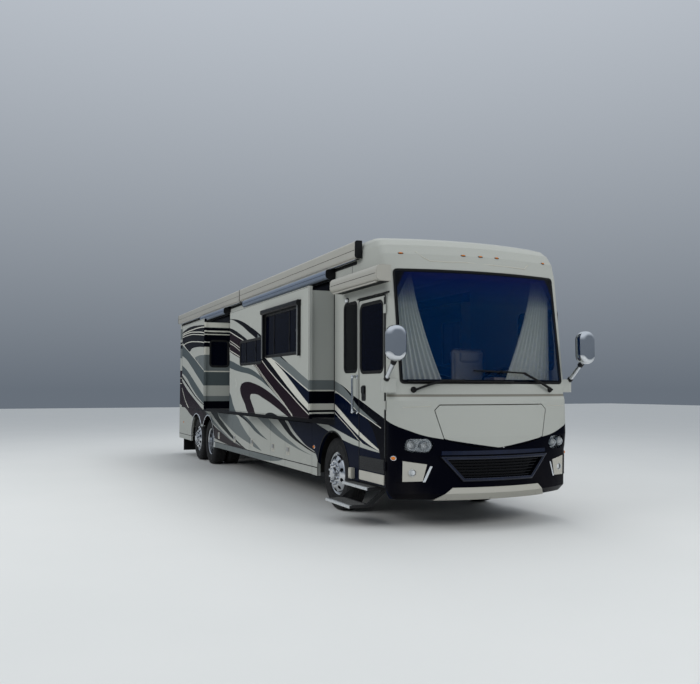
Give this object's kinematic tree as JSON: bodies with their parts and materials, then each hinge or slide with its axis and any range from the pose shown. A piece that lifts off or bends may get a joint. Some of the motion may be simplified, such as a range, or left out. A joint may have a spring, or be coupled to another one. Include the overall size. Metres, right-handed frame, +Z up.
{
  "type": "motorhome",
  "caption": "Full-size rear-engined motorhome body on a tag-axle chassis, with slide-out rooms, awnings, an entry door with pull-out steps, bay doors and a wide windscreen.",
  "frame": {"origin": "on the ground, at the middle of the overall length and of the width over the slide-outs", "axes": "+X forward, +Y to the driver's left, +Z up"},
  "size_m": [13.2497, 3.678, 3.956],
  "materials": {
    "paint_body": "gloss",
    "paint_dark": "gloss",
    "paint_roof": "satin",
    "glass_clear": "gloss",
    "glass_dark": "gloss",
    "lamp_lens": "gloss",
    "frame_steel": "satin",
    "engine_iron": "rough",
    "underfloor": "satin",
    "tyre_rubber": "matt",
    "rim_alloy": "polished",
    "axle_steel": "rough",
    "step_alloy": "satin",
    "chrome_trim": "polished",
    "black_rubber": "matt",
    "black_plastic": "matt",
    "roof_plastic": "satin",
    "cab_trim": "matt",
    "seat_leather": "satin",
    "curtain_cloth": "matt"
  },
  "bodies": {
    "coach": {"chassis_frame": "frame_steel", "front_cap": "paint_body", "front_mask": "paint_body", "front_bumper": "paint_dark", "windscreen_and_cab_windows": "glass_clear", "right_side_wall": "paint_body", "left_side_wall": "paint_body", "roof": "paint_roof", "rear_cap": "paint_body", "lamp_lenses": "lamp_lens", "deck_and_bays": "underfloor", "engine_block": "engine_iron", "lower_panels": "paint_body", "awning_cases": "paint_body", "axles_and_exhaust": "axle_steel", "mirrors_and_handle": "chrome_trim", "wipers_and_mud_flaps": "black_rubber", "roof_units": "roof_plastic", "cab_furniture": "cab_trim", "cab_seats": "seat_leather", "curtains": "curtain_cloth", "grille_and_lamp_housings": "black_plastic", "hitch": "frame_steel"},
    "hood": {"hood": "paint_body"},
    "engine_hatch": {"engine_hatch": "paint_body"},
    "entry_door": {"entry_door": "paint_body", "entry_door_window": "glass_dark"},
    "mid_slide": {"mid_slide": "paint_body", "mid_slide_windows": "glass_dark", "window_awning": "black_plastic"},
    "rear_slide": {"rear_slide": "paint_body", "rear_slide_windows": "glass_dark"},
    "left_slide": {"left_slide": "paint_body", "left_slide_windows": "glass_dark"},
    "entry_steps": {"entry_steps": "step_alloy"},
    "knuckle_right": {"steering_knuckle_right": "axle_steel"},
    "knuckle_left": {"steering_knuckle_left": "axle_steel"},
    "tie_rod": {"tie_rod": "axle_steel"},
    "steering_wheel": {"steering_wheel": "black_plastic"},
    "bay_door_right_1": {"bay_door_right_1": "paint_body"},
    "bay_door_right_2": {"bay_door_right_2": "paint_body"},
    "bay_door_right_3": {"bay_door_right_3": "paint_body"},
    "bay_door_right_4": {"bay_door_right_4": "paint_body"},
    "bay_door_right_5": {"bay_door_right_5": "paint_body"},
    "bay_door_left_1": {"bay_door_left_1": "paint_body"},
    "bay_door_left_3": {"bay_door_left_3": "paint_body"},
    "bay_door_left_4": {"bay_door_left_4": "paint_body"},
    "bay_door_left_5": {"bay_door_left_5": "paint_body"},
    "front_wheel_right": {"front_tyre_right": "tyre_rubber", "front_rim_right": "rim_alloy"},
    "tag_wheel_right": {"tag_tyre_right": "tyre_rubber", "tag_rim_right": "rim_alloy"},
    "drive_wheels_right": {"drive_tyres_right": "tyre_rubber", "drive_rims_right": "rim_alloy"},
    "front_wheel_left": {"front_tyre_left": "tyre_rubber", "front_rim_left": "rim_alloy"},
    "tag_wheel_left": {"tag_tyre_left": "tyre_rubber", "tag_rim_left": "rim_alloy"},
    "drive_wheels_left": {"drive_tyres_left": "tyre_rubber", "drive_rims_left": "rim_alloy"}
  },
  "joints": [
    {"name": "hood_hinge", "type": "hinge", "parent": "coach", "child": "hood", "pos_m": [6.531, 0, 1.512], "axis": [0, -1, 0], "range_deg": [0, 70]},
    {"name": "engine_hatch_hinge", "type": "hinge", "parent": "coach", "child": "engine_hatch", "pos_m": [-6.628, 0, 1.503], "axis": [0, 1, 0], "range_deg": [0, 80]},
    {"name": "entry_door_hinge", "type": "hinge", "parent": "coach", "child": "entry_door", "pos_m": [6.095, -1.3, 1.68], "axis": [0, 0, 1], "range_deg": [0, 90]},
    {"name": "mid_slide_travel", "type": "slide", "parent": "coach", "child": "mid_slide", "axis": [0, 1, 0], "range_m": [0, 0.335]},
    {"name": "rear_slide_travel", "type": "slide", "parent": "coach", "child": "rear_slide", "axis": [0, 1, 0], "range_m": [0, 0.49]},
    {"name": "left_slide_travel", "type": "slide", "parent": "coach", "child": "left_slide", "axis": [0, -1, 0], "range_m": [0, 0.49]},
    {"name": "entry_steps_travel", "type": "slide", "parent": "coach", "child": "entry_steps", "axis": [0, 1, 0], "range_m": [0, 0.38]},
    {"name": "steer_right", "type": "hinge", "parent": "coach", "child": "knuckle_right", "pos_m": [4.345, -0.985, 0.508], "axis": [0, 0, 1], "range_deg": [-35, 35]},
    {"name": "steer_left", "type": "hinge", "parent": "coach", "child": "knuckle_left", "pos_m": [4.345, 0.985, 0.508], "axis": [0, 0, 1], "range_deg": [-35, 35]},
    {"name": "tie_rod_travel", "type": "slide", "parent": "coach", "child": "tie_rod", "axis": [0, -1, 0], "range_m": [-0.16, 0.16]},
    {"name": "steering_wheel_turn", "type": "hinge", "parent": "coach", "child": "steering_wheel", "pos_m": [5.635, 0.62, 1.86], "axis": [-0.5299, 0, 0.848], "range_deg": [-560, 560]},
    {"name": "bay_door_right_1_hinge", "type": "hinge", "parent": "coach", "child": "bay_door_right_1", "pos_m": [3.522, -1.292, 0.8], "axis": [0, 0, 1], "range_deg": [0, 90]},
    {"name": "bay_door_right_2_hinge", "type": "hinge", "parent": "coach", "child": "bay_door_right_2", "pos_m": [2.252, -1.292, 0.8], "axis": [0, 0, 1], "range_deg": [0, 90]},
    {"name": "bay_door_right_3_hinge", "type": "hinge", "parent": "coach", "child": "bay_door_right_3", "pos_m": [1.452, -1.292, 0.8], "axis": [0, 0, 1], "range_deg": [0, 90]},
    {"name": "bay_door_right_4_hinge", "type": "hinge", "parent": "coach", "child": "bay_door_right_4", "pos_m": [0.152, -1.292, 0.8], "axis": [0, 0, 1], "range_deg": [0, 90]},
    {"name": "bay_door_right_5_hinge", "type": "hinge", "parent": "coach", "child": "bay_door_right_5", "pos_m": [-1.078, -1.292, 0.8], "axis": [0, 0, 1], "range_deg": [0, 90]},
    {"name": "bay_door_left_1_hinge", "type": "hinge", "parent": "coach", "child": "bay_door_left_1", "pos_m": [3.522, 1.292, 0.8], "axis": [0, 0, -1], "range_deg": [0, 90]},
    {"name": "bay_door_left_3_hinge", "type": "hinge", "parent": "coach", "child": "bay_door_left_3", "pos_m": [1.452, 1.292, 0.8], "axis": [0, 0, -1], "range_deg": [0, 90]},
    {"name": "bay_door_left_4_hinge", "type": "hinge", "parent": "coach", "child": "bay_door_left_4", "pos_m": [0.152, 1.292, 0.8], "axis": [0, 0, -1], "range_deg": [0, 90]},
    {"name": "bay_door_left_5_hinge", "type": "hinge", "parent": "coach", "child": "bay_door_left_5", "pos_m": [-1.078, 1.292, 0.8], "axis": [0, 0, -1], "range_deg": [0, 90]},
    {"name": "front_wheel_right_spin", "type": "hinge", "parent": "knuckle_right", "child": "front_wheel_right", "pos_m": [4.345, -1.093, 0.508], "axis": [0, 1, 0], "continuous": true},
    {"name": "tag_wheel_right_spin", "type": "hinge", "parent": "coach", "child": "tag_wheel_right", "pos_m": [-4.455, -1.093, 0.508], "axis": [0, 1, 0], "continuous": true},
    {"name": "drive_wheels_right_spin", "type": "hinge", "parent": "coach", "child": "drive_wheels_right", "pos_m": [-3.245, -0.93, 0.508], "axis": [0, 1, 0], "continuous": true},
    {"name": "front_wheel_left_spin", "type": "hinge", "parent": "knuckle_left", "child": "front_wheel_left", "pos_m": [4.345, 1.093, 0.508], "axis": [0, 1, 0], "continuous": true},
    {"name": "tag_wheel_left_spin", "type": "hinge", "parent": "coach", "child": "tag_wheel_left", "pos_m": [-4.455, 1.093, 0.508], "axis": [0, 1, 0], "continuous": true},
    {"name": "drive_wheels_left_spin", "type": "hinge", "parent": "coach", "child": "drive_wheels_left", "pos_m": [-3.245, 0.93, 0.508], "axis": [0, 1, 0], "continuous": true}
  ],
  "couplings": [
    {"joint": "steer_left", "follows": "steer_right", "ratio": 1},
    {"joint": "tie_rod_travel", "follows": "steer_right", "m_per_rad": 0.23},
    {"joint": "steering_wheel_turn", "follows": "steer_right", "ratio": 15.7}
  ]
}
